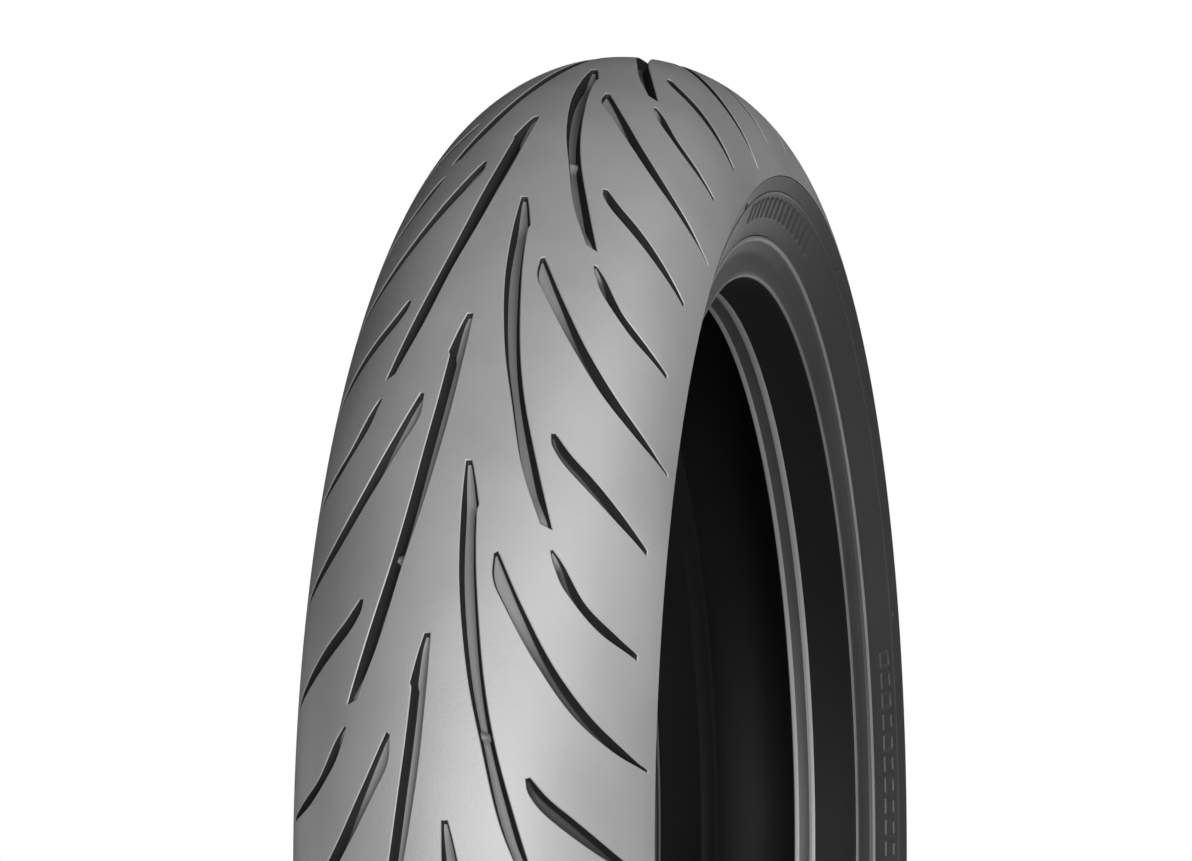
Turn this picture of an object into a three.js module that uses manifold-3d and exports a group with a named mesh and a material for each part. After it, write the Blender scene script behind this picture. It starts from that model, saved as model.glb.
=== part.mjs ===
// Motorcycle tire, 120/70-17 front size, radial construction, drawn in millimetres.
// The wheel axle is +Y, +Z is up, and the origin is the tire's centre.
// Every layer is a ring about Y. Sections are given as [axial, radial] pairs.

import * as THREE from "three";
import { mergeVertices } from "three/addons/utils/BufferGeometryUtils.js";
import Module from "manifold-3d";

// ---- Driving dimensions -------------------------------------------------------------
const OUTER_RADIUS = 300;        // over the crown of the tread
const HALF_WIDTH = 60;           // to the tread edge, the widest point of the section
const EDGE_RADIUS = 253;         // radius at which the tread edge lies
const RIM_LINE = [48.6, 230.2];  // moulded rib just above the rim flange
const FLANGE_FACE = 45.4;        // half distance between the flat faces the rim flanges press
const HEEL = [43.5, 215];        // outer corner of the bead
const TOE = [24.6, 212.5];       // inner corner of the bead seat
const TOE_LIP = [18.2, 211];     // thin rubber lip beyond the toe

const SEGMENTS = 32;             // facets round every inner ring
const CLEARANCE = 0.3;           // kept between layers that touch in the real tire

// Thickness of each layer at the crown, from the outside inwards.
const TREAD_CAP = 5.8;
const TREAD_BASE = 1.2;
const STEEL_BELT = 0.9;
const BREAKER = 0.8;
const PLY = 0.9;
const LINER = 1.0;

// ---- Tread pattern ------------------------------------------------------------------
const PITCHES = 16;              // pattern repeats round the tire, on each side
const PITCH = (2 * Math.PI * OUTER_RADIUS) / PITCHES;
const PATTERN_START = 11.9;      // along the crown, from +X to the first groove's tip
const GROOVE_TOP = 3;            // the cutters start this far above the rubber
const GROOVE_DRAFT = 0.7;        // width at the bottom over width at the surface

// Each groove is a curve on the unrolled tread: [across from the crown, along the crown].
const GROOVES = [
  { path: [[6, 0], [8, -68], [16, -98], [32, -141]], width: 5.0, depth: 4.6, stations: 3 },
  { path: [[17, -32], [30, -62], [48, -92], [75, -101]], width: 4.6, depth: 4.2, stations: 2 },
];

// ---- Section helpers ----------------------------------------------------------------
const CROWN_RADIUS = (HALF_WIDTH ** 2 + (OUTER_RADIUS - EDGE_RADIUS) ** 2)
  / (2 * (OUTER_RADIUS - EDGE_RADIUS));
const CROWN_CENTRE = OUTER_RADIUS - CROWN_RADIUS;
const EDGE_ANGLE = THREE.MathUtils.radToDeg(Math.asin(HALF_WIDTH / CROWN_RADIUS));
const STATIONS = [-70, -35, 0, 35, 70];   // corners shared by the nested layers

// Point on the arc that lies `depth` below the tread surface, `degrees` from the crown.
function onArc(depth, degrees) {
  const angle = THREE.MathUtils.degToRad(degrees);
  const radius = CROWN_RADIUS - depth;
  return [radius * Math.sin(angle), CROWN_CENTRE + radius * Math.cos(angle)];
}

// The same, on the straight chord between two stations, so that nested layers never touch.
function onChord(depth, degrees) {
  const next = STATIONS.findIndex((station) => station >= degrees);
  const upper = Math.max(next, 1);
  const [low, high] = [STATIONS[upper - 1], STATIONS[upper]];
  const share = (degrees - low) / (high - low);
  const [start, end] = [onArc(depth, low), onArc(depth, high)];
  return [0, 1].map((i) => start[i] + share * (end[i] - start[i]));
}

// Chord points between -limit and limit, with the stations that lie between them.
function band(depth, limit) {
  const inner = STATIONS.filter((station) => Math.abs(station) < limit - 1);
  return [-limit, ...inner, limit].map((degrees) => onChord(depth, degrees));
}

const mirror = (points) => points.map(([axial, radial]) => [-axial, radial]);

// Closed section of a layer that runs from bead to bead: crown band plus a run down each side.
function arch(outerDepth, innerDepth, outerRun, innerRun) {
  const outer = [...mirror(outerRun).reverse(), ...band(outerDepth, 70), ...outerRun];
  const inner = [...mirror(innerRun).reverse(), ...band(innerDepth, 70), ...innerRun];
  return [...outer, ...inner.reverse()];
}

// ---- Meshes -------------------------------------------------------------------------
const tire = new THREE.Group();

const FINISH = {
  tread: { color: 0x4a4b4d, roughness: 0.62, metalness: 0 },
  sidewall: { color: 0x232426, roughness: 0.55, metalness: 0 },
  gum: { color: 0x2b2a29, roughness: 0.7, metalness: 0 },
  liner: { color: 0x151516, roughness: 0.5, metalness: 0 },
  textile: { color: 0x8a7a5c, roughness: 0.9, metalness: 0 },
  steel: { color: 0xa79a72, roughness: 0.35, metalness: 0.9 },
};

function addMesh(name, geometry, finish) {
  const mesh = new THREE.Mesh(geometry, new THREE.MeshStandardMaterial(FINISH[finish]));
  mesh.name = name;
  tire.add(mesh);
}

function ringGeometry(section, segments) {
  const points = section.map(([axial, radial]) => new THREE.Vector2(radial, axial));
  if (THREE.ShapeUtils.area(points) < 0) points.reverse();
  points.push(points[0].clone());
  return new THREE.LatheGeometry(points, segments);
}

function addRing(name, section, finish) {
  addMesh(name, ringGeometry(section, SEGMENTS), finish);
}

function addPair(name, section, finish) {
  addRing(`${name}_right`, section, finish);
  addRing(`${name}_left`, mirror(section), finish);
}

// ---- Grooves ------------------------------------------------------------------------
// Place on the tire of a point given across and along the tread, `height` above the rubber.
function onTread(across, along, height) {
  const tilt = across / CROWN_RADIUS;
  const turn = along / OUTER_RADIUS;
  const radial = CROWN_CENTRE + (CROWN_RADIUS + height) * Math.cos(tilt);
  const axial = (CROWN_RADIUS + height) * Math.sin(tilt);
  return [radial * Math.cos(turn), axial, radial * Math.sin(turn)];
}

// Adds one groove's cutter, a tapered channel lofted along its curve, to the index lists.
function addCutter(groove, side, shift, vertices, triangles) {
  const [p0, p1, p2, p3] = groove.path.map(([x, y]) => new THREE.Vector2(x, y));
  const curve = new THREE.CubicBezierCurve(p0, p1, p2, p3);
  const first = vertices.length / 3;
  for (let k = 0; k <= groove.stations; k += 1) {
    const share = k / groove.stations;
    const centre = curve.getPointAt(share);
    const tangent = curve.getTangentAt(share);
    const half = groove.width * (0.12 + 0.38 * Math.sin(Math.PI * share) ** 0.4);
    for (const [sign, height, scale] of [
      [-1, GROOVE_TOP, 1], [1, GROOVE_TOP, 1],
      [1, -groove.depth, GROOVE_DRAFT], [-1, -groove.depth, GROOVE_DRAFT],
    ]) {
      const across = centre.x - sign * scale * half * tangent.y;
      const along = centre.y + sign * scale * half * tangent.x;
      vertices.push(...onTread(side * across, along + shift, height));
    }
  }
  const face = (a, b, c) => triangles.push(...(side > 0 ? [a, c, b] : [a, b, c]));
  const quad = (a, b, c, d) => {
    face(a, b, c);
    face(a, c, d);
  };
  for (let k = 0; k < groove.stations; k += 1) {
    const here = first + 4 * k;
    for (let corner = 0; corner < 4; corner += 1) {
      const next = (corner + 1) % 4;
      quad(here + corner, here + next, here + 4 + next, here + 4 + corner);
    }
  }
  const last = first + 4 * groove.stations;
  quad(first + 3, first + 2, first + 1, first);
  quad(last, last + 1, last + 2, last + 3);
}

function cutGrooves(geometry, wasm) {
  geometry.deleteAttribute("normal");
  geometry.deleteAttribute("uv");
  const merged = mergeVertices(geometry);
  const blank = new wasm.Manifold(new wasm.Mesh({
    numProp: 3,
    vertProperties: new Float32Array(merged.attributes.position.array),
    triVerts: new Uint32Array(merged.index.array),
  }));
  const vertices = [];
  const triangles = [];
  for (let pitch = 0; pitch < PITCHES; pitch += 1) {
    const start = PATTERN_START + pitch * PITCH;
    for (const groove of GROOVES) {
      addCutter(groove, 1, start, vertices, triangles);
      addCutter(groove, -1, start + PITCH / 2, vertices, triangles);
    }
  }
  const cutters = new wasm.Manifold(new wasm.Mesh({
    numProp: 3,
    vertProperties: new Float32Array(vertices),
    triVerts: new Uint32Array(triangles),
  }));
  const result = blank.subtract(cutters).getMesh();
  const cut = new THREE.BufferGeometry();
  cut.setAttribute("position", new THREE.BufferAttribute(result.vertProperties, 3));
  cut.setIndex(new THREE.BufferAttribute(result.triVerts, 1));
  cut.computeVertexNormals();
  return cut;
}

// ---- Crown layers -------------------------------------------------------------------
const wasm = await Module();
wasm.setup();

const capOuter = [];
const CAP_STEPS = 8;
for (let k = 0; k <= CAP_STEPS; k += 1) {
  capOuter.push(onArc(0, EDGE_ANGLE * ((2 * k) / CAP_STEPS - 1)));
}
const capSection = [...capOuter, ...band(TREAD_CAP, 70).reverse()];
addMesh("tread_cap", cutGrooves(ringGeometry(capSection, SEGMENTS), wasm), "tread");

const baseDepth = TREAD_CAP + CLEARANCE;
const beltDepth = baseDepth + TREAD_BASE + CLEARANCE;
const breakerDepth = beltDepth + STEEL_BELT + CLEARANCE;
const outerPlyDepth = breakerDepth + BREAKER + CLEARANCE;
const innerPlyDepth = outerPlyDepth + PLY + CLEARANCE;
const linerDepth = innerPlyDepth + PLY + CLEARANCE;
const BELT_LIMIT = 56;
const BASE_LIMIT = 69;

function addBand(name, depth, thickness, limit, finish) {
  addRing(name, [...band(depth, limit), ...band(depth + thickness, limit).reverse()], finish);
}
addBand("tread_base", baseDepth, TREAD_BASE, BASE_LIMIT, "gum");
addBand("belt_steel_zero_degree", beltDepth, STEEL_BELT, BELT_LIMIT, "steel");
addBand("belt_breaker", breakerDepth, BREAKER, BELT_LIMIT, "textile");

// Gum strip that fills the step at the belt edge.
const edgeStrip = [
  onChord(beltDepth, 57), onChord(beltDepth, 68.5),
  onChord(outerPlyDepth - CLEARANCE, 68.5), onChord(outerPlyDepth - CLEARANCE, 57),
];
addPair("belt_edge_strip", edgeStrip, "gum");

// ---- Carcass ------------------------------------------------------------------------
// The outer ply runs down outside the bead filler and ends beside the bead core.
addRing("carcass_ply_outer", arch(
  outerPlyDepth, outerPlyDepth + PLY,
  [[49.6, 246], [46.9, 235.9], [42.6, 225], [42.3, 221]],
  [[48.8, 246.1], [46.1, 236.1], [41.95, 225.3], [41.6, 221]],
), "textile");

// The inner ply passes inside the bead core, round under it and up outside the filler.
addRing("carcass_ply_inner", arch(
  innerPlyDepth, innerPlyDepth + PLY,
  [[48.4, 246.1], [44.3, 239.2], [33.2, 224.9], [33.2, 218.8], [40.4, 218.8],
    [40.4, 224.6], [44.9, 236.4]],
  [[47.5, 246.4], [43.6, 239.8], [32.3, 225.2], [32.3, 217.9], [41.3, 217.9],
    [41.25, 224.3], [45.7, 236.1]],
), "textile");

// The liner seals the cavity and thickens into the bead toe.
addRing("inner_liner", arch(
  linerDepth, linerDepth + LINER,
  [[47.15, 246.5], [43.3, 240.1], [31.95, 225.4], [31.95, 216.6], [26, 215.8]],
  [[46.2, 246.8], [42.4, 240.8], [30.9, 226.1], [24.8, 215.5]],
), "liner");

// ---- Sidewalls and beads ------------------------------------------------------------
addPair("sidewall", [
  [59.7, 252.75], [54.6, 242.8], [50.9, 235.8], [48.9, 230.6],
  [45.35, 230.6], [47.3, 235.8], [49.95, 246], [49.3, 256.6], [52.4, 257.05],
], "sidewall");

addPair("rim_strip", [
  RIM_LINE, [FLANGE_FACE, 224.5], [FLANGE_FACE, 217.5], HEEL, TOE, TOE_LIP,
  [18.2, 212], [25.4, 214.1], [42.6, 216.4], [43.9, 218.2], [43.9, 224.6], [46.9, 230.2],
], "sidewall");

addPair("chafer", [
  [45.9, 229], [43.55, 224.7], [43.55, 218.3], [42.35, 216.75], [26, 214.55],
  [26, 215.4], [41.95, 217.6], [42.75, 218.6], [42.75, 224.8], [45.2, 229.2],
], "textile");

addPair("bead_core", [[34.4, 220], [39.2, 220], [39.2, 224.4], [34.4, 224.4]], "steel");

addPair("bead_core_wrap", [
  [33.5, 224.4], [33.5, 219.1], [40.1, 219.1], [40.1, 224.4],
  [39.5, 224.4], [39.5, 219.7], [34.1, 219.7], [34.1, 224.4],
], "textile");

addPair("bead_filler", [[33.6, 224.75], [39.95, 224.75], [45.3, 238.5], [44.7, 238.5]], "gum");

export default tire;
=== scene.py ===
"""Visual model of a motorcycle front tire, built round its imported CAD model.

Units are metres unless a name says otherwise. The wheel axle is +Y and +Z is up.
Sections of the tire are written as (axial, radial) pairs in millimetres.
"""

import math

import bmesh
import bpy
import numpy as np
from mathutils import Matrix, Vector
from mathutils.geometry import delaunay_2d_cdt


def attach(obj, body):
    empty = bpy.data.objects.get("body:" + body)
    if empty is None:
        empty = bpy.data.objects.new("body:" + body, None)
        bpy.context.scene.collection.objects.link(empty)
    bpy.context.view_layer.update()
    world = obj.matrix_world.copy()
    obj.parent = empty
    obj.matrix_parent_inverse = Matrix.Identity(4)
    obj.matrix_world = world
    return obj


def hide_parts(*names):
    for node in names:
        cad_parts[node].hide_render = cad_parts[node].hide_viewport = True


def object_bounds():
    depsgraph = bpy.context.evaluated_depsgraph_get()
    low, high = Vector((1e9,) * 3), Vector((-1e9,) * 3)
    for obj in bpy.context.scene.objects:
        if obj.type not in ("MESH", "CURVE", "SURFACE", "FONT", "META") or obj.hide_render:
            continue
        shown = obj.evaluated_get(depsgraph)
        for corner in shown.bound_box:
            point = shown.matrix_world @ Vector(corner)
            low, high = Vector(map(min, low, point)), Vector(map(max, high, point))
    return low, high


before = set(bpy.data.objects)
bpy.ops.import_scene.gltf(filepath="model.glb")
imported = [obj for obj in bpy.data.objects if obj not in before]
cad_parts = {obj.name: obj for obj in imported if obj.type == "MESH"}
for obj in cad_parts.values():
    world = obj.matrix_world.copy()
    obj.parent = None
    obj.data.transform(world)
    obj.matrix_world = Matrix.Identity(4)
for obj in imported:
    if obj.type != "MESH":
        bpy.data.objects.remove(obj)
cad_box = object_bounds()

# ---- Sizes, in millimetres ----------------------------------------------------------
MM = 0.001
OUTER_RADIUS = cad_box[1][2] / MM
HALF_WIDTH = cad_box[1][1] / MM
EDGE_RADIUS = 253.0              # radius at which the tread edge lies
CAP_THICKNESS = 5.6
EDGE_DROP = OUTER_RADIUS - EDGE_RADIUS
CROWN_RADIUS = (HALF_WIDTH ** 2 + EDGE_DROP ** 2) / (2 * EDGE_DROP)
CROWN_CENTRE = OUTER_RADIUS - CROWN_RADIUS
EDGE_ANGLE = math.asin(HALF_WIDTH / CROWN_RADIUS)
HALF_ARC = CROWN_RADIUS * EDGE_ANGLE
PITCHES = 16
PITCH = 2 * math.pi * OUTER_RADIUS / PITCHES
EDGE_STEPS = 48                  # points in one pitch along the crown line and tread edge
RING_STEPS = 384                 # points in a full turn of the other rings
SHARP_ANGLE = 32                 # degrees above which shading is kept sharp

# ---- Camera, lights and floor, in metres --------------------------------------------
CAMERA_DISTANCE = 1.4773
CAMERA_AZIMUTH = 12.909          # degrees, from +X to +Y
CAMERA_ELEVATION = 1.106         # degrees
CAMERA_AIM_RIGHT = -0.0202       # from the tire's middle to the point looked at
CAMERA_AIM_UP = 0.1584
CAMERA_LENS = 115.34             # millimetres
CAMERA_SENSOR = 36
LIGHT_DISTANCE = 2.2
AMBIENT = 0.05                   # strength of the white surroundings as a light
FLOOR_RADIUS = 1.3
FLOOR_SIDES = 128
FLOOR_GAP = 0.0005               # between the tire and the floor
FLOOR_TONE = 0.8
FLOOR_ROUGHNESS = 0.7

# Soft boxes: name, azimuth from +X to +Y and elevation in degrees, (width, height), watts.
LIGHTS = [
    ("key", 25, 2, (0.75, 1.1), 65),
    ("side", 50, 27, (0.75, 1.3), 36),
    ("fill", -1, 5, (0.8, 1.1), 43),
    ("left", -112, -5, (1.0, 1.0), 5),
    ("shoulder", 82, 42, (0.8, 0.8), 22),
    ("back", 180, -4, (1.0, 1.0), 12),
]

# ---- Tread pattern ------------------------------------------------------------------
# Zones of the tread's faces, and the material slot of each.
SURFACE, CHAMFER, WALL, PALE_FLOOR, DARK_FLOOR, SHOULDER_FLOOR, UNDERSIDE = range(7)
# The wall and floor slots get rubber with painted shade, darker than the surface's.
ZONE_MATERIAL = (0, 0, 1, 2, 3, 4, 0)

# Grooves of one pitch, right half of the tread, in millimetres: (across from the crown,
# along the crown). The inner edge is nearer the crown and the outer one nearer the
# shoulder; each is one or more smooth stretches that meet at corners. The lead and tail
# are the share of the full depth at that end, and the share of the length over which the
# depth becomes full. A bar is the share of the length at which a wear bar lies.
LONG_GROOVE = {
    "inner": [[(2.7, 0), (3.2, -20), (5.0, -45), (9.4, -73), (14.7, -95), (20.9, -119),
               (28.8, -138.2)]],
    "outer": [[(5.2, 0), (7.0, -6.5), (9.3, -16.4)],
              [(9.3, -16.4), (8.6, -17.6)],
              [(8.6, -17.6), (9.5, -30), (11.1, -45), (15.0, -73), (19.6, -95), (26.7, -119),
               (33.4, -139.8)]],
    "depth": 4.6, "lead": (0.35, 0.13), "tail": (0.4, 0.1), "bar": 0.655, "floor": PALE_FLOOR,
}
SHOULDER_GROOVE = {
    "inner": [[(15.0, -32.3), (15.3, -41), (19.5, -49.5), (30, -66.5), (44, -83.5), (60, -94),
               (77.5, -99.6)]],
    "outer": [[(16.5, -31), (25.8, -49.2), (37.6, -68.3), (51.9, -83.6), (69, -94.5),
               (77.5, -98)]],
    "depth": 4.2, "lead": (0.45, 0.6), "tail": (0.85, 0.1), "bar": None, "floor": SHOULDER_FLOOR,
}
SHORT_GROOVE = {
    "inner": [[(28.8, -104.6), (30.2, -110), (37, -117.5), (54, -129), (70.5, -137)]],
    "outer": [[(30.6, -104), (37, -110.7), (45, -116.6), (60, -127.3), (70.8, -134.3)]],
    "depth": 3.8, "lead": (0.6, 0.1), "tail": (0.8, 0.1), "bar": None, "floor": DARK_FLOOR,
}
BRANCH_GROOVE = {
    "inner": [[(32.7, -28.8), (34.7, -34.6), (39.4, -42.6), (52, -53.6), (69.5, -59.8)]],
    "outer": [[(34, -28.2), (38.2, -33), (47.1, -45), (59.7, -52.8), (69.5, -57)]],
    "depth": 3.8, "lead": (0.22, 0.35), "tail": (0.8, 0.1), "bar": None, "floor": DARK_FLOOR,
}
GROOVES = (LONG_GROOVE, SHOULDER_GROOVE, SHORT_GROOVE, BRANCH_GROOVE)

# Line between one pitch and the next, which crosses no groove.
PITCH_LINE = [(0, 6), (6, 5), (12, -3), (20, -15), (27, -24.3), (34.5, -26.1), (41, -26),
              (54, -31), (70, -40), (HALF_ARC, -45)]

PATTERN_START = 11.9             # along the crown, from +X to the first groove tip
CURVE_STEP = 0.5                 # spacing of points along a groove's drawn edges
GROOVE_STEP = 1.6                # spacing of points along a finished groove
RIM_CHAMFER = 0.3                # worn edge of a groove
LEAST_WALL = 0.33                # depth of the wall's foot where a groove is shallowest
WALL_DRAFT = 0.16                # inset of a groove wall per unit of depth
FLOOR_FILLET = 0.5               # height of the slope where wall and floor meet
FILLET_INSET = 0.35              # width of that slope
WIDEST_INSET = 0.42              # most of a groove's width that one wall may take
BAR_HALF = 1.0                   # half length of a wear bar's top
BAR_SLOPE = 0.6                  # length of a wear bar's end slopes
BAR_RISE = 0.5                   # share of the depth that a wear bar fills

# The rubber between the grooves is triangulated over a staggered grid of points.
PITCH_LINE_STEP = 3.0            # spacing of points along the line between pitches
GRID_ACROSS, GRID_ALONG = 2.9, 4.6
GRID_START = 2.6                 # across from the crown to the first points
GRID_MARGIN = 1                  # kept free beside the tread's edge
GRID_RUN = (-170, 10)            # along the crown, past both ends of the pitch
GRID_CLEAR = 1.3                 # least distance from a grid point to an outline
SAME_POINT = 1e-5                # distance at which two points count as one
WELD = 2e-6                      # the same in metres, where pitches are joined
UNDERSIDE_INSET = 0.09           # angle from the tread's edge to its underside, in radians
UNDERSIDE_STEPS = 25

# ---- Sidewall and bead, in millimetres ----------------------------------------------
# Outer face of the sidewall from the tread's edge to the bead, and its back.
SIDEWALL_FACE = [(59.9, 252.7), (57.1, 246.5), (53.6, 239.5), (50.6, 233.6), (49.6, 231.2)]
SIDEWALL_BACK = [(48.9, 230.75), (45.35, 230.6), (47.3, 235.8), (49.95, 246), (49.3, 256.6),
                 (54.0, 256.9)]
FACE_STEP = 0.45                 # spacing of points across the face
MARK_STEP = 0.4                  # spacing of points round a raised mark
PLAIN_STEPS = 5                  # how many times wider it is where the face is plain
SAME_HEIGHT = 1e-6               # least change of height that counts as one

# Raised marks, with the places of their middles in degrees from +X towards +Z. A pair of
# halves is half the size round the tire and half the size across the sidewall.
MARK_RADIUS = 241.0              # middle of the band of marks
MARK_HEIGHT = 0.5
MARK_BEVEL = 0.5
RIB_RADIUS, RIB_HALF = 246.9, 0.2
RIB_HEIGHT = 0.6                 # as a share of the height of the marks
FRAMES = {"places": (12, 192), "pitch": 9.4, "reach": 132, "half": (3.0, 2.6), "line": 0.4}
SLANTS = {"places": (88, 268), "pitch": 9.0, "reach": 66, "half": (2.2, 3.6), "slant": 0.5}
ARROW_PLACES = (54, 234)
SHAFT_MIDDLE, SHAFT_HALF = -6, (12, 0.9)
HEAD_MIDDLE, HEAD_HALF = 8, 5
HEAD_TIP, HEAD_LENGTH, HEAD_SLOPE = 12, 9, 0.42
TRIANGLE_TIP, TRIANGLE_LENGTH, TRIANGLE_SLOPE = 250.6, 2.6, 0.6
TRIANGLE_MIDDLE, TRIANGLE_HALF = 249.3, 1.1

# Rim strip: rim rib, flange face and heel, bead seat, toe lips, and the back.
RIM_STRIP = [
    (48.4, 230.6), (49.4, 230.5), (49.7, 229.6), (48.7, 228.8), (47.4, 228.2),
    (46.0, 225.6), (45.4, 223.5), (45.4, 217.9), (45.0, 216.4), (44.7, 215.9), (43.7, 215.1),
    (42.4, 214.85),
    (26.0, 212.72), (25.2, 212.25), (24.3, 212.15), (23.5, 212.4),
    (19.2, 211.3), (18.2, 210.95), (17.4, 210.95), (17.0, 211.5),
    (17.3, 212.0), (25.4, 214.15), (42.6, 216.4), (43.9, 218.2), (43.9, 224.6), (46.9, 230.2),
]
# Patches of the rim strip, each the lowest and highest (axial, radial) pair.
RIM_LINE = [((48.5, 228.9), (49.8, 230.6))]
HEEL = [((43.6, 215.0), (44.8, 216.0))]
TOE_LIPS = [((23.5, 212.1), (26.1, 212.8)), ((16.9, 210.8), (19.2, 211.6))]
TOE_FACE = [((19.2, 211.3), (23.5, 212.4))]
BEAD_SEAT = [((26.0, 212.7), (43.6, 215.0))]

# ---- Layers inside, in millimetres and degrees --------------------------------------
# Bands: depth below the tread, thickness and half angle.
UNDERTREAD = (6.1, 1.2, 69)
STEEL_BELT = (7.6, 0.9, 56)
BREAKER = (8.8, 0.8, 56)
BAND_STEPS = 20

# Arches from bead to bead: depth of each face below the tread, and its run down the side.
ARCH_ANGLE = 70
OUTER_PLY = (9.9, 10.8, [(49.6, 246), (46.9, 235.9), (42.6, 225), (42.3, 221)],
             [(48.8, 246.1), (46.1, 236.1), (41.95, 225.3), (41.6, 221)])
INNER_PLY = (11.1, 12.0,
             [(48.4, 246.1), (44.3, 239.2), (33.2, 224.9), (33.2, 218.8), (40.4, 218.8),
              (40.4, 224.6), (44.9, 236.4)],
             [(47.5, 246.4), (43.6, 239.8), (32.3, 225.2), (32.3, 217.9), (41.3, 217.9),
              (41.25, 224.3), (45.7, 236.1)])
LINER = (12.3, 13.3, [(47.15, 246.5), (43.3, 240.1), (31.95, 225.4), (31.95, 216.6), (26, 215.8)],
         [(46.2, 246.8), (42.4, 240.8), (30.9, 226.1), (24.8, 215.5)])

# Pieces that each side has.
EDGE_STRIP_DEPTHS, EDGE_STRIP_ANGLES = (7.6, 9.6), (57, 68.5)
CHAFER = [(45.9, 229), (43.55, 224.7), (43.55, 218.3), (42.35, 216.75), (26, 214.55),
          (26, 215.4), (41.95, 217.6), (42.75, 218.6), (42.75, 224.8), (45.2, 229.2)]
CORE_WRAP = [(33.5, 224.4), (33.5, 219.1), (40.1, 219.1), (40.1, 224.4),
             (39.5, 224.4), (39.5, 219.7), (34.1, 219.7), (34.1, 224.4)]
FILLER = [(33.6, 224.75), (39.95, 224.75), (45.3, 238.5), (44.7, 238.5)]
FIRST_WIRE = (34.95, 220.5)
WIRE_RADIUS = 0.36
WIRE_SIDES = 8
WIRE_APART, ROW_APART = 0.76, 0.68
CORE_ROWS = 6                    # of six wires and five, by turns

# ---- Rubber and cords ---------------------------------------------------------------
PATCH_SCALE, PATCH_DETAIL = 14, 6
PATCH_RANGE = (0.3, 0.7)         # noise values between which the tone changes
TINT_SPREAD = 0.14               # share by which a tone goes up and down
ROUGHNESS_SPREAD = 0.07
GRAIN_DETAIL = 4
GRAIN_STRENGTH = 0.35
CORD_GRAIN = (1500, 0.0001)      # scale and height of the grain
CORD_SHARPNESS = 0.6             # power that widens the cords against the gum
CORD_HEIGHT = 0.0003
GUM = (0.02, 0.02, 0.02)         # colour between the cords


# ---- Curves and grooves -------------------------------------------------------------
def smooth_curve(points, step):
    """Catmull-Rom curve through the points, with samples about `step` apart."""
    p = np.array(points, float)
    p = np.vstack([2 * p[0] - p[1], p, 2 * p[-1] - p[-2]])
    samples = []
    for a, b, c, d in zip(p[:-3], p[1:-2], p[2:-1], p[3:]):
        count = max(2, int(np.linalg.norm(c - b) / step) + 1)
        t = np.arange(count)[:, None] / count
        samples.append(0.5 * (2 * b + (c - a) * t + (2 * a - 5 * b + 4 * c - d) * t ** 2
                              + (3 * b - a - 3 * c + d) * t ** 3))
    return np.vstack(samples + [p[-2:-1]])


def edge_curve(stretches):
    """One groove edge: smooth stretches joined at corners."""
    parts = [smooth_curve(points, CURVE_STEP) for points in stretches]
    return np.vstack([parts[0]] + [part[1:] for part in parts[1:]])


def along(line, shares):
    """Points at the given shares of a polyline's length."""
    steps = np.linalg.norm(np.diff(line, axis=0), axis=1)
    run = np.concatenate([[0], np.cumsum(steps)])
    return np.column_stack([np.interp(shares * run[-1], run, line[:, i]) for i in (0, 1)])


def eased(x):
    """0 below 0, 1 above 1, and smooth between."""
    x = np.clip(x, 0, 1)
    return x * x * (3 - 2 * x)


def groove_rings(groove, with_bar):
    """The groove as rings of (across, along, height) points, from its rim to its floor."""
    inner, outer = edge_curve(groove["inner"]), edge_curve(groove["outer"])
    length = np.linalg.norm(np.diff(inner, axis=0), axis=1).sum()
    shares = np.linspace(0, 1, int(length / GROOVE_STEP) + 1)
    bar = groove["bar"]
    bar_foot = BAR_HALF + BAR_SLOPE
    if bar:
        offsets = np.array([-bar_foot, -BAR_HALF, BAR_HALF, bar_foot]) / length
        near = np.abs(shares - bar) < (bar_foot + BAR_SLOPE) / length
        shares = np.sort(np.concatenate([shares[~near], bar + offsets]))
    lead_depth, lead_length = groove["lead"]
    tail_depth, tail_length = groove["tail"]
    depth = groove["depth"] * (lead_depth + (1 - lead_depth) * eased(shares / lead_length))
    depth *= tail_depth + (1 - tail_depth) * eased((1 - shares) / tail_length)
    if bar and with_bar:
        away = np.abs(shares - bar) * length
        depth *= 1 - BAR_RISE * np.clip((bar_foot - away) / BAR_SLOPE, 0, 1)
    # Each ring's inset from the groove's outline, and its depth.
    levels = [
        (0 * depth, 0 * depth),
        (RIM_CHAMFER + 0 * depth, RIM_CHAMFER + 0 * depth),
        (RIM_CHAMFER + WALL_DRAFT * depth, np.maximum(depth - FLOOR_FILLET, LEAST_WALL)),
        (RIM_CHAMFER + WALL_DRAFT * depth + FILLET_INSET, depth),
    ]
    rings = []
    for inset, down in levels:
        ends = inset.max() / length
        moved = ends + shares * (1 - 2 * ends)
        a, b = along(inner, moved), along(outer, moved)
        gap = np.linalg.norm(b - a, axis=1)
        share = np.minimum(inset / gap, WIDEST_INSET)[:, None]
        a, b = a + (b - a) * share, b + (a - b) * share
        ring = np.vstack([np.column_stack([a, -down]), np.column_stack([b, -down])[::-1]])
        rings.append(ring)
    return rings


def inside(points, loop):
    """Whether each point lies inside a closed loop."""
    x, y = points[:, 0, None], points[:, 1, None]
    x0, y0 = loop[:, 0], loop[:, 1]
    x1, y1 = np.roll(x0, -1), np.roll(y0, -1)
    crosses = (y0 > y) != (y1 > y)
    with np.errstate(divide="ignore", invalid="ignore"):
        at = x0 + (y - y0) * (x1 - x0) / (y1 - y0)
    return (crosses & (x < at)).sum(axis=1) % 2 == 1


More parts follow.
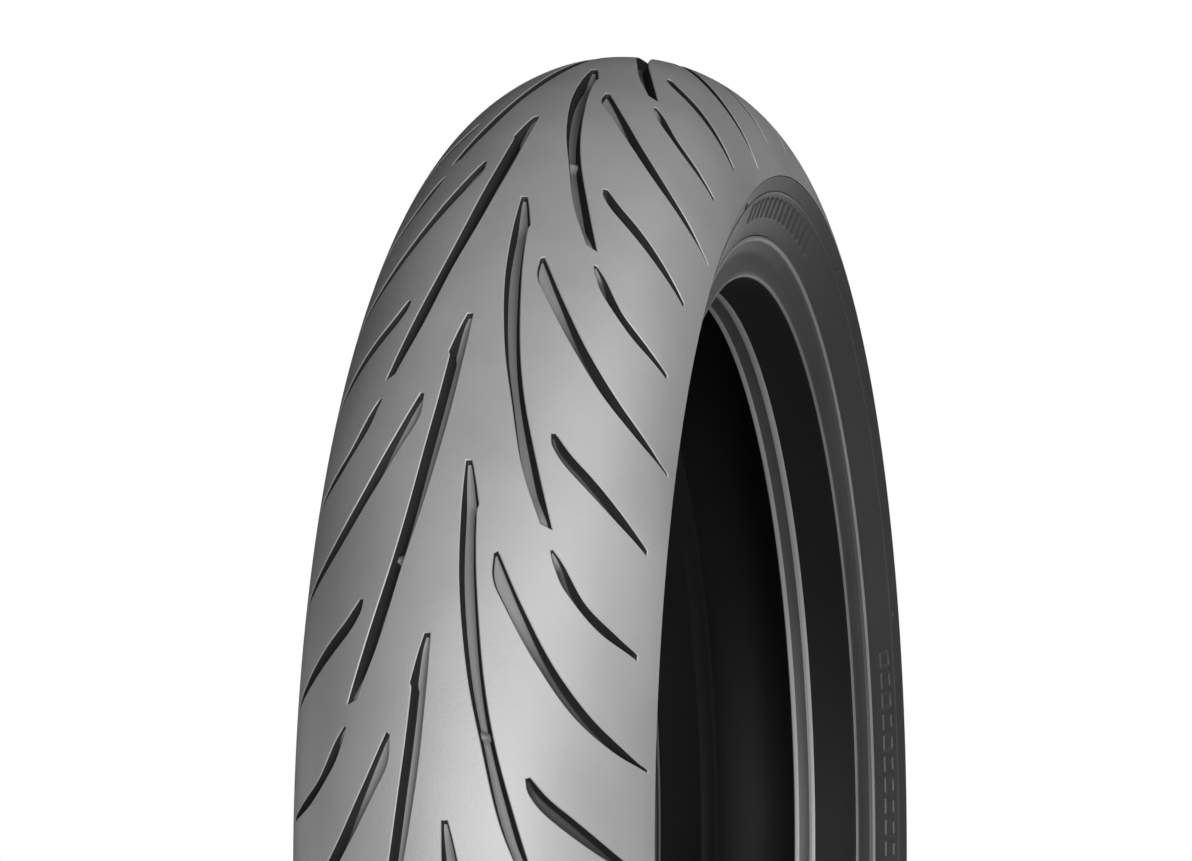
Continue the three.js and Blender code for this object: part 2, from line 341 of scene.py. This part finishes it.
def pitch_surface(rims):
    """Triangles of one pitch's rubber surface, open where the grooves are."""
    line = smooth_curve(PITCH_LINE, PITCH_LINE_STEP)
    shift = np.array([0, -PITCH])
    steps = np.linspace(0, 1, EDGE_STEPS + 1)[1:-1, None]
    crown_edge = line[0] + steps * shift
    shoulder_edge = line[-1] + shift - steps * shift
    border = np.vstack([line[::-1], crown_edge, line + shift, shoulder_edge])
    loops = [border] + [rim[:, :2] for rim in rims]
    fixed = np.vstack(loops)
    across, run = np.meshgrid(np.arange(GRID_START, HALF_ARC - GRID_MARGIN, GRID_ACROSS),
                              np.arange(*GRID_RUN, GRID_ALONG))
    run = run + GRID_ALONG / 2 * (np.arange(across.shape[1]) % 2)
    grid = np.column_stack([across.ravel(), run.ravel()])
    keep = inside(grid, border)
    for rim in rims:
        keep &= ~inside(grid, rim[:, :2])
    grid = grid[keep]
    apart = np.linalg.norm(grid[:, None] - fixed[None], axis=2).min(axis=1)
    grid = grid[apart > GRID_CLEAR]
    points = np.vstack([fixed, grid])
    edges, start = [], 0
    for loop in loops:
        count = len(loop)
        edges += [(start + i, start + (i + 1) % count) for i in range(count)]
        start += count
    # The result's points come in an order of its own, and its last list says which is which.
    only_inside, keep_sources = 1, True
    result = delaunay_2d_cdt([Vector(p) for p in points], edges, [], only_inside, SAME_POINT,
                             keep_sources)
    if len(result[0]) != len(points):
        raise RuntimeError("the tread outlines cross")
    order = [ids[0] for ids in result[3]]
    faces = np.array([[order[v] for v in face] for face in result[2]])
    middle = points[faces].mean(axis=1)
    keep = inside(middle, border)
    for rim in rims:
        keep &= ~inside(middle, rim[:, :2])
    faces = faces[keep]
    a, b, c = (points[faces[:, i]] for i in range(3))
    turn = (b - a)[:, 0] * (c - a)[:, 1] - (b - a)[:, 1] * (c - a)[:, 0]
    faces[turn < 0] = faces[turn < 0][:, ::-1]
    return points, faces, len(border)


def pitch_mesh(with_bar):
    """One pitch of the right half: its points, and its faces as (zone, faces) groups."""
    grooves = [groove_rings(groove, with_bar) for groove in GROOVES]
    flat, triangles, first = pitch_surface([rings[0] for rings in grooves])
    points = [np.column_stack([flat, np.zeros(len(flat))])]
    total = len(flat)
    groups = [(SURFACE, triangles)]
    for groove, rings in zip(GROOVES, grooves):
        size = len(rings[0])
        above = first + np.arange(size)
        first += size
        for zone, ring in zip((CHAMFER, WALL, WALL), rings[1:]):
            points.append(ring)
            below = total + np.arange(size)
            total += size
            quads = np.column_stack([above, np.roll(above, -1), np.roll(below, -1), below])
            groups.append((zone, quads))
            above = below
        half = size // 2
        left, right = above[:half], above[half:][::-1]
        floor = np.column_stack([left[:-1], left[1:], right[1:], right[:-1]])
        groups.append((groove["floor"], floor))
    return np.vstack(points), groups


def on_tread(across, run, height):
    """Places on the tire of points given on the unrolled tread."""
    tilt, turn = across / CROWN_RADIUS, run / OUTER_RADIUS
    radial = CROWN_CENTRE + (CROWN_RADIUS + height) * np.cos(tilt)
    axial = (CROWN_RADIUS + height) * np.sin(tilt)
    return np.column_stack([radial * np.cos(turn), axial, radial * np.sin(turn)]) * MM


# ---- Mesh helpers -------------------------------------------------------------------
def new_object(name, mesh):
    """The mesh as an object in the scene."""
    obj = bpy.data.objects.new(name, mesh)
    bpy.context.scene.collection.objects.link(obj)
    return obj


def full_turn(count, start=0.0):
    """Angles of evenly spaced points round the axle, from +X towards +Z."""
    return start + 2 * math.pi * np.arange(count) / count


def spin(section, turns, closed=True):
    """Points and quads of a section, (axial, radial) pairs, turned about the axle.

    The section is one list for the whole turn, or an array with one for each angle.
    """
    section = np.array(section, float)
    section = np.broadcast_to(section, (len(turns),) + section.shape[-2:])
    x, y = section[0].T
    if closed and (x * np.roll(y, -1) - np.roll(x, -1) * y).sum() > 0:
        section = section[:, ::-1]
    axial, radial = section[:, :, 0], section[:, :, 1]
    points = np.stack([
        np.cos(turns)[:, None] * radial, axial, np.sin(turns)[:, None] * radial,
    ], axis=-1).reshape(-1, 3) * MM
    index = np.arange(axial.size).reshape(axial.shape)
    ahead = np.roll(index, -1, axis=0)
    last = None if closed else -1
    here = [index, np.roll(index, -1, axis=1), np.roll(ahead, -1, axis=1), ahead]
    quads = np.stack([corner[:, :last] for corner in here], axis=-1).reshape(-1, 4)
    return points, quads


def ring_object(name, sections, material, turns=full_turn(RING_STEPS)):
    """One piece made of closed sections, each turned about the axle."""
    places, faces, total = [], [], 0
    for section in sections:
        points, quads = spin(section, turns)
        places.append(points)
        faces.append(quads + total)
        total += len(points)
    mesh = bpy.data.meshes.new(name)
    mesh.from_pydata(np.vstack(places).tolist(), [], np.vstack(faces).tolist())
    mesh.materials.append(material)
    obj = new_object(name, mesh)
    shade(obj)
    return obj


def paint(obj, material, patches):
    """Gives another material to the faces whose middles lie in patches of the section."""
    obj.data.materials.append(material)
    slot = len(obj.data.materials) - 1
    for polygon in obj.data.polygons:
        x, y, z = polygon.center / MM
        axial, radial = abs(y), math.hypot(x, z)
        if any(low[0] < axial < high[0] and low[1] < radial < high[1] for low, high in patches):
            polygon.material_index = slot


def shade(obj):
    """Smooth shading, kept sharp where faces meet at a large angle."""
    for polygon in obj.data.polygons:
        polygon.use_smooth = True
    obj.data.set_sharp_from_angle(angle=math.radians(SHARP_ANGLE))


def mirrored(section):
    """The section's points on the other side of the tire."""
    return [(-axial, radial) for axial, radial in section]


# ---- Tread --------------------------------------------------------------------------
def tread_parts():
    """Points, faces and face zones of the whole grooved cap."""
    plain, barred = pitch_mesh(False), pitch_mesh(True)
    places, faces, zones = [], [], []
    total = 0
    for pitch in range(PITCHES):
        for side, shift in ((1, 0.0), (-1, 0.5)):
            points, groups = barred if pitch % 2 else plain
            run = points[:, 1] + (pitch + shift) * PITCH + PATTERN_START
            places.append(on_tread(side * points[:, 0], run, points[:, 2]))
            for zone, group in groups:
                group = group + total
                faces += (group if side > 0 else group[:, ::-1]).tolist()
                zones += [zone] * len(group)
            total += len(points)
    # The underside closes the body; its ring starts where the tread edges have a point.
    inner = CROWN_RADIUS - CAP_THICKNESS
    limit = EDGE_ANGLE - UNDERSIDE_INSET
    angles = np.linspace(limit, -limit, UNDERSIDE_STEPS)
    under = [(inner * math.sin(a), CROWN_CENTRE + inner * math.cos(a)) for a in angles]
    section = [(HALF_WIDTH, EDGE_RADIUS)] + under + [(-HALF_WIDTH, EDGE_RADIUS)]
    start = (PITCH_LINE[-1][1] + PATTERN_START) / OUTER_RADIUS
    points, quads = spin(section, full_turn(PITCHES * EDGE_STEPS, start), closed=False)
    places.append(points)
    faces += (quads + total).tolist()
    zones += [UNDERSIDE] * len(quads)
    return np.vstack(places), faces, zones


def exact_normals(mesh, zones):
    """Corner normals of the smooth crown on its surface; zero, Blender's own, elsewhere."""
    place = np.zeros(len(mesh.vertices) * 3)
    mesh.vertices.foreach_get("co", place)
    x, y, z = place.reshape(-1, 3).T / MM
    radial = np.hypot(x, z)
    up = (radial - CROWN_CENTRE) / radial
    crown = np.column_stack([up * x, y, up * z])
    crown /= np.linalg.norm(crown, axis=1)[:, None]
    corner_vertex = np.zeros(len(mesh.loops), int)
    mesh.loops.foreach_get("vertex_index", corner_vertex)
    sizes = np.zeros(len(mesh.polygons), int)
    mesh.polygons.foreach_get("loop_total", sizes)
    normals = np.zeros((len(mesh.loops), 3))
    smooth = np.repeat(np.array(zones) == SURFACE, sizes)
    normals[smooth] = crown[corner_vertex[smooth]]
    return normals


def make_tread(*materials):
    """The grooved cap as one closed body."""
    places, faces, zones = tread_parts()
    mesh = bpy.data.meshes.new("tread")
    mesh.from_pydata(places.tolist(), [], faces)
    mesh.attributes.new("zone", "INT", "FACE").data.foreach_set("value", zones)
    bm = bmesh.new()
    bm.from_mesh(mesh)
    bmesh.ops.remove_doubles(bm, verts=bm.verts, dist=WELD)
    layer = bm.faces.layers.int["zone"]
    for face in bm.faces:
        face.smooth = True
        face.material_index = ZONE_MATERIAL[face[layer]]
    for edge in bm.edges:
        kinds = {face[layer] for face in edge.link_faces}
        edge.smooth = len(kinds) == 1 or kinds <= {WALL, PALE_FLOOR, DARK_FLOOR, SHOULDER_FLOOR}
    open_edges = sum(1 for edge in bm.edges if len(edge.link_faces) != 2)
    print("tread:", len(bm.verts), "points,", len(bm.faces), "faces,", open_edges, "open edges")
    bm.to_mesh(mesh)
    bm.free()
    zones = np.zeros(len(mesh.polygons), int)
    mesh.attributes["zone"].data.foreach_get("value", zones)
    mesh.normals_split_custom_set(exact_normals(mesh, zones).tolist())
    for material in materials:
        mesh.materials.append(material)
    return new_object("tread", mesh)


# ---- Materials ----------------------------------------------------------------------
def make_rubber(name, colour, roughness, grain_scale, grain_height, gloss=0.5):
    """Rubber with soft patches of tone and gloss, and a fine grain."""
    material = bpy.data.materials.new(name)
    material.use_nodes = True
    nodes, links = material.node_tree.nodes, material.node_tree.links
    shader = nodes["Principled BSDF"]
    shader.inputs["Specular IOR Level"].default_value = gloss
    coords = nodes.new("ShaderNodeTexCoord")
    patches = nodes.new("ShaderNodeTexNoise")
    patches.inputs["Scale"].default_value = PATCH_SCALE
    patches.inputs["Detail"].default_value = PATCH_DETAIL
    tint = nodes.new("ShaderNodeValToRGB")
    for element, position, sign in zip(tint.color_ramp.elements, PATCH_RANGE, (-1, 1)):
        element.position = position
        element.color = [(1 + sign * TINT_SPREAD) * c for c in colour] + [1]
    grain = nodes.new("ShaderNodeTexNoise")
    grain.inputs["Scale"].default_value = grain_scale
    grain.inputs["Detail"].default_value = GRAIN_DETAIL
    rough = nodes.new("ShaderNodeMapRange")
    rough.inputs["To Min"].default_value = roughness - ROUGHNESS_SPREAD
    rough.inputs["To Max"].default_value = roughness + ROUGHNESS_SPREAD
    bump = nodes.new("ShaderNodeBump")
    bump.inputs["Strength"].default_value = GRAIN_STRENGTH
    bump.inputs["Distance"].default_value = grain_height
    links.new(coords.outputs["Object"], patches.inputs["Vector"])
    links.new(coords.outputs["Object"], grain.inputs["Vector"])
    links.new(patches.outputs["Fac"], tint.inputs["Fac"])
    links.new(tint.outputs["Color"], shader.inputs["Base Color"])
    links.new(patches.outputs["Fac"], rough.inputs["Value"])
    links.new(rough.outputs["Result"], shader.inputs["Roughness"])
    links.new(grain.outputs["Fac"], bump.inputs["Height"])
    links.new(bump.outputs["Normal"], shader.inputs["Normal"])
    return material


def math_node(material, operation, first, second=None):
    """Output of a Math node fed by sockets or plain numbers."""
    tree = material.node_tree
    node = tree.nodes.new("ShaderNodeMath")
    node.operation = operation
    for socket, value in zip(node.inputs, (first, second)):
        if isinstance(value, bpy.types.NodeSocket):
            tree.links.new(value, socket)
        elif value is not None:
            socket.default_value = value
    return node.outputs[0]


def hypotenuse(material, first, second):
    """Length of the hypotenuse over two sides."""
    squares = [math_node(material, "MULTIPLY", side, side) for side in (first, second)]
    return math_node(material, "SQRT", math_node(material, "ADD", *squares))


def place_sockets(material):
    """The x, y and z of a point in the tire's frame."""
    tree = material.node_tree
    coords = tree.nodes.new("ShaderNodeTexCoord")
    split = tree.nodes.new("ShaderNodeSeparateXYZ")
    tree.links.new(coords.outputs["Object"], split.inputs[0])
    return split.outputs


def mix_colour(material, factor, first):
    """Blends the base colour from a first colour, at factor 0, to its own, at factor 1."""
    nodes, links = material.node_tree.nodes, material.node_tree.links
    base = nodes["Principled BSDF"].inputs["Base Color"]
    own = base.links[0].from_socket
    mix = nodes.new("ShaderNodeMix")
    mix.data_type = "RGBA"
    links.new(factor, mix.inputs["Factor"])
    ends = [socket for socket in mix.inputs if socket.type == "RGBA"]
    ends[0].default_value = (*first, 1)
    links.new(own, ends[1])
    links.new([socket for socket in mix.outputs if socket.type == "RGBA"][0], base)


def painted_shade_by_depth(material, shallow, start, end):
    """Paints shade into the colour by depth: fades from a paler shallow colour to its own darker
    one, between two depths below the tread in mm.
    """
    nodes, links = material.node_tree.nodes, material.node_tree.links
    x, y, z = place_sockets(material)
    up = math_node(material, "SUBTRACT", hypotenuse(material, x, z), CROWN_CENTRE * MM)
    depth = math_node(material, "SUBTRACT", CROWN_RADIUS * MM, hypotenuse(material, up, y))
    fade = nodes.new("ShaderNodeMapRange")
    fade.inputs["From Min"].default_value = start * MM
    fade.inputs["From Max"].default_value = end * MM
    links.new(depth, fade.inputs["Value"])
    mix_colour(material, fade.outputs["Result"], shallow)


def make_cord(name, colour, roughness, cords, slant):
    """Parallel cords in dark gum: a number of them round the tire, and so many per metre across."""
    material = make_rubber(name, colour, roughness, *CORD_GRAIN)
    nodes, links = material.node_tree.nodes, material.node_tree.links
    x, y, z = place_sockets(material)
    turn = math_node(material, "ARCTAN2", z, x)
    phase = math_node(material, "ADD", math_node(material, "MULTIPLY", turn, cords),
                      math_node(material, "MULTIPLY", y, slant * 2 * math.pi))
    half_sine = math_node(material, "MULTIPLY", math_node(material, "SINE", phase), 0.5)
    wave = math_node(material, "ADD", half_sine, 0.5)
    mix_colour(material, math_node(material, "POWER", wave, CORD_SHARPNESS), GUM)
    grain = nodes["Principled BSDF"].inputs["Normal"].links[0].from_node
    bump = nodes.new("ShaderNodeBump")
    bump.inputs["Distance"].default_value = CORD_HEIGHT
    links.new(wave, bump.inputs["Height"])
    links.new(bump.outputs["Normal"], grain.inputs["Normal"])
    return material


def grey(tone):
    """A colour without a hue."""
    return (tone, tone, tone)


# Tread: worn surface, and groove walls and floors with painted shade: the walls are painted near
# black, and the floors darker where deep and paler where they are shallow.
tread_rubber = make_rubber("tread_rubber", grey(0.1), 0.5, 900, 0.0002)
groove_wall_painted_shade = make_rubber("groove_wall_painted_shade", grey(0.006), 0.7, 900, 0.0001, 0.1)
pale_floor_painted_shade = make_rubber("pale_floor_painted_shade", grey(0.06), 0.6, 900, 0.0001, 0.3)
dark_floor_painted_shade = make_rubber("dark_floor_painted_shade", grey(0.01), 0.6, 900, 0.0001, 0.2)
shoulder_floor_painted_shade = make_rubber("shoulder_floor_painted_shade", grey(0.01), 0.6, 900, 0.0001, 0.2)
painted_shade_by_depth(pale_floor_painted_shade, grey(0.1), 1.0, 2.2)
painted_shade_by_depth(dark_floor_painted_shade, grey(0.09), 0.7, 1.9)
painted_shade_by_depth(shoulder_floor_painted_shade, grey(0.07), 2.5, 3.9)

# Sidewall, inside and bead. The liner and bead seat are painted near black as painted shade; the
# rim line, heel and right toe lips are painted lighter as painted highlights.
side_rubber = make_rubber("sidewall_rubber", (0.012, 0.012, 0.0125), 0.55, 700, 0.0001, 0.35)
liner_painted_shade = make_rubber("liner_painted_shade", grey(0.003), 0.5, 500, 0.0001, 0.1)
bead_face_rubber = make_rubber("bead_face_rubber", grey(0.015), 0.55, 700, 0.0001, 0.35)
rim_line_painted_highlight = make_rubber("rim_line_painted_highlight", grey(0.07), 0.5, 900, 0.0001)
heel_painted_highlight = make_rubber("heel_painted_highlight", grey(0.045), 0.5, 900, 0.0001)
seat_painted_shade = make_rubber("seat_painted_shade", grey(0.0035), 0.5, 500, 0.0001, 0.04)
lip_painted_highlight = make_rubber("lip_painted_highlight", grey(0.1), 0.5, 900, 0.0001)

# Layers that are hidden in the whole tire.
gum_rubber = make_rubber("gum_rubber", (0.045, 0.043, 0.04), 0.7, 600, 0.0001)
belt_cord = make_cord("belt_cord", (0.5, 0.4, 0.25), 0.4, 0, 620)
breaker_cord = make_cord("breaker_cord", (0.3, 0.25, 0.14), 0.7, 700, 500)
outer_ply_cord = make_cord("outer_ply_cord", (0.32, 0.28, 0.2), 0.8, 1100, 180)
inner_ply_cord = make_cord("inner_ply_cord", (0.32, 0.28, 0.2), 0.8, 1100, -180)
chafer_weave = make_cord("chafer_weave", (0.2, 0.18, 0.14), 0.8, 900, 700)
steel_wire = make_rubber("steel_wire", (0.5, 0.4, 0.25), 0.35, 900, 0.0001)


# ---- Sidewall -----------------------------------------------------------------------
def ridge(offset, half):
    """1 within a half width of the middle, falling to 0 over a bevelled edge."""
    return eased((half + MARK_BEVEL / 2 - np.abs(offset)) / MARK_BEVEL)


def around(turns, middle):
    """Length round the sidewall to each angle from a middle one, which is in degrees."""
    return ((turns - math.radians(middle) + math.pi) % (2 * math.pi) - math.pi) * MARK_RADIUS


def in_cells(length, pitch, reach):
    """Distance from the middle of each point's cell, and whether the cell is within reach."""
    middle = (np.floor(length / pitch) + 0.5) * pitch
    return length - middle, np.abs(middle) < reach


def frame_marks(ahead, up):
    """A row of small frames, where a maker would put its lettering."""
    offset, marked = in_cells(ahead, FRAMES["pitch"], FRAMES["reach"])
    wide, tall = FRAMES["half"]
    return marked * ridge(np.maximum(np.abs(offset) - wide, np.abs(up) - tall), FRAMES["line"])


def slant_marks(ahead, up):
    """A row of wide slanted bars."""
    offset, marked = in_cells(ahead + SLANTS["slant"] * up, SLANTS["pitch"], SLANTS["reach"])
    wide, tall = SLANTS["half"]
    return marked * ridge(offset, wide) * ridge(up, tall)


def arrow_mark(ahead, up):
    """Arrow for the direction of rotation: a shaft and a pointed head."""
    long, wide = SHAFT_HALF
    shaft = ridge(ahead - SHAFT_MIDDLE, long) * ridge(up, wide)
    spread = np.clip(HEAD_TIP - ahead, 0, HEAD_LENGTH) * HEAD_SLOPE
    return np.maximum(shaft, ridge(up, spread) * ridge(ahead - HEAD_MIDDLE, HEAD_HALF))


def wear_triangles(turns, radius):
    """A small triangle that points at each wear bar."""
    apart = 4 * math.pi * MARK_RADIUS / PITCHES
    offset = turns * MARK_RADIUS % apart - apart / 2
    spread = np.clip(TRIANGLE_TIP - radius, -1, TRIANGLE_LENGTH) * TRIANGLE_SLOPE
    return ridge(offset, spread) * ridge(radius - TRIANGLE_MIDDLE, TRIANGLE_HALF)


def sidewall_relief(turns, radius):
    """Height of the moulded marks at angles (a column) and radii (a row)."""
    height = wear_triangles(turns, radius)
    height = np.maximum(height, RIB_HEIGHT * ridge(radius - RIB_RADIUS, RIB_HALF))
    rows = ((frame_marks, FRAMES["places"]), (slant_marks, SLANTS["places"]),
            (arrow_mark, ARROW_PLACES))
    for marks, places in rows:
        for middle in places:
            height = np.maximum(height, marks(around(turns, middle), radius - MARK_RADIUS))
    return MARK_HEIGHT * height


def moulded_sidewall():
    """Angles round the sidewall, and its section with raised marks at each of them."""
    face = smooth_curve(SIDEWALL_FACE, FACE_STEP)
    across = np.gradient(face, axis=0)
    out = np.column_stack([-across[:, 1], across[:, 0]])
    out /= np.linalg.norm(out, axis=1)[:, None]
    turns = full_turn(int(2 * math.pi * MARK_RADIUS / MARK_STEP))
    height = sidewall_relief(turns[:, None], face[None, :, 1])
    changes = (np.abs(height - np.roll(height, 1, axis=0)) > SAME_HEIGHT).any(axis=1)
    keep = changes | np.roll(changes, -1) | (np.arange(len(turns)) % PLAIN_STEPS == 0)
    turns, height = turns[keep], height[keep]
    moved = face[None] + out[None] * height[:, :, None]
    back = np.broadcast_to(SIDEWALL_BACK, (len(turns), len(SIDEWALL_BACK), 2))
    return turns, np.concatenate([moved, back], axis=1)


# ---- Layers -------------------------------------------------------------------------
def arc_point(depth, degrees):
    """Point at a depth below the tread, and at an angle from the crown."""
    angle = math.radians(degrees)
    radius = CROWN_RADIUS - depth
    return (radius * math.sin(angle), CROWN_CENTRE + radius * math.cos(angle))


def arc_band(depth, limit):
    """Points at one depth below the tread, from shoulder to shoulder."""
    shares = [2 * k / BAND_STEPS - 1 for k in range(BAND_STEPS + 1)]
    return [arc_point(depth, limit * share) for share in shares]


def band(depth, thickness, limit):
    """Section of a layer under the tread."""
    return arc_band(depth, limit) + arc_band(depth + thickness, limit)[::-1]


def arch(outer_depth, inner_depth, outer_run, inner_run):
    """Section of a layer that goes from bead to bead."""
    outer = mirrored(outer_run)[::-1] + arc_band(outer_depth, ARCH_ANGLE) + outer_run
    inner = mirrored(inner_run)[::-1] + arc_band(inner_depth, ARCH_ANGLE) + inner_run
    return outer + inner[::-1]


def edge_strip():
    """Section of the gum strip beside the belt's edge."""
    (outer, inner), (near, far) = EDGE_STRIP_DEPTHS, EDGE_STRIP_ANGLES
    corners = ((outer, near), (outer, far), (inner, far), (inner, near))
    return [arc_point(*corner) for corner in corners]


def wire(axial, radial):
    """Section of one wire of a bead core."""
    return [(axial + WIRE_RADIUS * math.cos(a), radial + WIRE_RADIUS * math.sin(a))
            for a in full_turn(WIRE_SIDES)]


def core_wires():
    """Sections of all wires of one bead core, each row resting in the gaps of the one below."""
    axial, radial = FIRST_WIRE
    return [wire(axial + WIRE_APART * (column + 0.5 * (row % 2)), radial + ROW_APART * row)
            for row in range(CORE_ROWS) for column in range(CORE_ROWS - row % 2)]


# ---- Build --------------------------------------------------------------------------
SIDES = (("right", 1), ("left", -1))


def place(obj, slot_name, *nodes):
    """Hides the CAD pieces that an object stands for, and attaches it to the root body. The slot
    name is not used.
    """
    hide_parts(*nodes)
    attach(obj, "root")


def on_side(section, side):
    """The section on the right side of the tire, for side 1, or on the left one, for -1."""
    return np.array(section) * (side, 1)


# The tread's groove walls and floors carry painted shade.
place(make_tread(tread_rubber, groove_wall_painted_shade, pale_floor_painted_shade, dark_floor_painted_shade,
                 shoulder_floor_painted_shade), "tread", "tread_cap")

mark_turns, marked_section = moulded_sidewall()
for suffix, side in SIDES:
    skin = ring_object("sidewall_skin_" + suffix, [on_side(marked_section, side)], side_rubber,
                       mark_turns)
    place(skin, "sidewall", "sidewall_" + suffix)
    bead = ring_object("bead_rubber_" + suffix, [on_side(RIM_STRIP, side)], bead_face_rubber)
    # The heel and rim line are painted lighter, as painted highlights.
    paint(bead, heel_painted_highlight, HEEL)
    paint(bead, rim_line_painted_highlight, RIM_LINE)
    # Painted highlight and shade on the toe and seat: only the right toe lips are painted pale as a
    # painted highlight, with its face between them painted darker as painted shade; the bead seat,
    # and the whole left toe, are painted near black as painted shade.
    if suffix == "right":
        paint(bead, lip_painted_highlight, TOE_LIPS)
        paint(bead, side_rubber, TOE_FACE)
        paint(bead, seat_painted_shade, BEAD_SEAT)
    else:
        paint(bead, seat_painted_shade, BEAD_SEAT + TOE_LIPS + TOE_FACE)
    place(bead, "sidewall", "rim_strip_" + suffix)

# Layers from the tread inwards: object, section, material, slot and node.
LAYERS = [
    ("undertread", band(*UNDERTREAD), gum_rubber, "gum", "tread_base"),
    ("steel_belt", band(*STEEL_BELT), belt_cord, "steel_cord", "belt_steel_zero_degree"),
    ("breaker", band(*BREAKER), breaker_cord, "textile_cord", "belt_breaker"),
    ("outer_ply", arch(*OUTER_PLY), outer_ply_cord, "textile_cord", "carcass_ply_outer"),
    ("inner_ply", arch(*INNER_PLY), inner_ply_cord, "textile_cord", "carcass_ply_inner"),
    # The liner is painted near black, as painted shade inside the tire.
    ("liner_skin", arch(*LINER), liner_painted_shade, "liner", "inner_liner"),
]
for name, section, material, slot_name, node in LAYERS:
    place(ring_object(name, [section], material), slot_name, node)

# Pieces that each side has: node without its side, sections, material and slot.
PAIRS = [
    ("belt_edge_strip", [edge_strip()], gum_rubber, "gum"),
    ("chafer", [CHAFER], chafer_weave, "textile_cord"),
    ("bead_core", core_wires(), steel_wire, "bead_wire"),
    ("bead_core_wrap", [CORE_WRAP], chafer_weave, "textile_cord"),
    ("bead_filler", [FILLER], gum_rubber, "gum"),
]
for node, sections, material, slot_name in PAIRS:
    for suffix, side in SIDES:
        sided = [on_side(section, side) for section in sections]
        obj = ring_object("%s_ring_%s" % (node, suffix), sided, material)
        place(obj, slot_name, "%s_%s" % (node, suffix))


# ---- Setting ------------------------------------------------------------------------
def direction(azimuth, elevation):
    """Unit vector at an azimuth, from +X to +Y, and an elevation, both in degrees."""
    a, e = math.radians(azimuth), math.radians(elevation)
    return Vector((math.cos(e) * math.cos(a), math.cos(e) * math.sin(a), math.sin(e)))


def make_floor():
    """A round pale floor just under the tire."""
    mesh = bpy.data.meshes.new("floor")
    low = cad_box[0][2] - FLOOR_GAP
    rim = [(FLOOR_RADIUS * math.cos(a), FLOOR_RADIUS * math.sin(a), low)
           for a in full_turn(FLOOR_SIDES)]
    mesh.from_pydata(rim, [], [tuple(range(len(rim)))])
    material = bpy.data.materials.new("pale_floor")
    material.use_nodes = True
    shader = material.node_tree.nodes["Principled BSDF"]
    shader.inputs["Base Color"].default_value = (*grey(FLOOR_TONE), 1)
    shader.inputs["Roughness"].default_value = FLOOR_ROUGHNESS
    mesh.materials.append(material)
    new_object("floor", mesh)


def make_camera():
    """The photo's camera, which looks past the tire's middle at a point above it."""
    towards = direction(CAMERA_AZIMUTH, CAMERA_ELEVATION)
    right = Vector((0, 0, 1)).cross(towards).normalized()
    up = towards.cross(right)
    target = right * CAMERA_AIM_RIGHT + up * CAMERA_AIM_UP
    camera = bpy.data.objects.new("camera", bpy.data.cameras.new("camera"))
    camera.data.lens = CAMERA_LENS
    camera.data.sensor_width = CAMERA_SENSOR
    camera.location = towards * CAMERA_DISTANCE
    camera.rotation_euler = (target - camera.location).to_track_quat("-Z", "Y").to_euler()
    bpy.context.scene.collection.objects.link(camera)
    bpy.context.scene.camera = camera


def add_light(name, azimuth, elevation, size, power):
    """Soft box that looks at the tire from a direction."""
    data = bpy.data.lights.new(name, "AREA")
    data.shape = "RECTANGLE"
    data.size, data.size_y = size
    data.energy = power
    light = bpy.data.objects.new(name, data)
    light.location = direction(azimuth, elevation) * LIGHT_DISTANCE
    light.rotation_euler = (-light.location).to_track_quat("-Z", "Y").to_euler()
    light.visible_camera = False
    bpy.context.scene.collection.objects.link(light)


def make_world():
    """White surroundings: bright to the camera, and dim as a light."""
    world = bpy.data.worlds.new("studio")
    bpy.context.scene.world = world
    world.use_nodes = True
    nodes, links = world.node_tree.nodes, world.node_tree.links
    seen = nodes["Background"]
    lit = nodes.new("ShaderNodeBackground")
    path = nodes.new("ShaderNodeLightPath")
    mix = nodes.new("ShaderNodeMixShader")
    for background in (seen, lit):
        background.inputs["Color"].default_value = (1, 1, 1, 1)
    lit.inputs["Strength"].default_value = AMBIENT
    links.new(path.outputs["Is Camera Ray"], mix.inputs["Fac"])
    links.new(lit.outputs["Background"], mix.inputs[1])
    links.new(seen.outputs["Background"], mix.inputs[2])
    links.new(mix.outputs["Shader"], nodes["World Output"].inputs["Surface"])


make_floor()
make_camera()
make_world()
for studio_light in LIGHTS:
    add_light(*studio_light)
bpy.context.scene.view_settings.view_transform = "Standard"
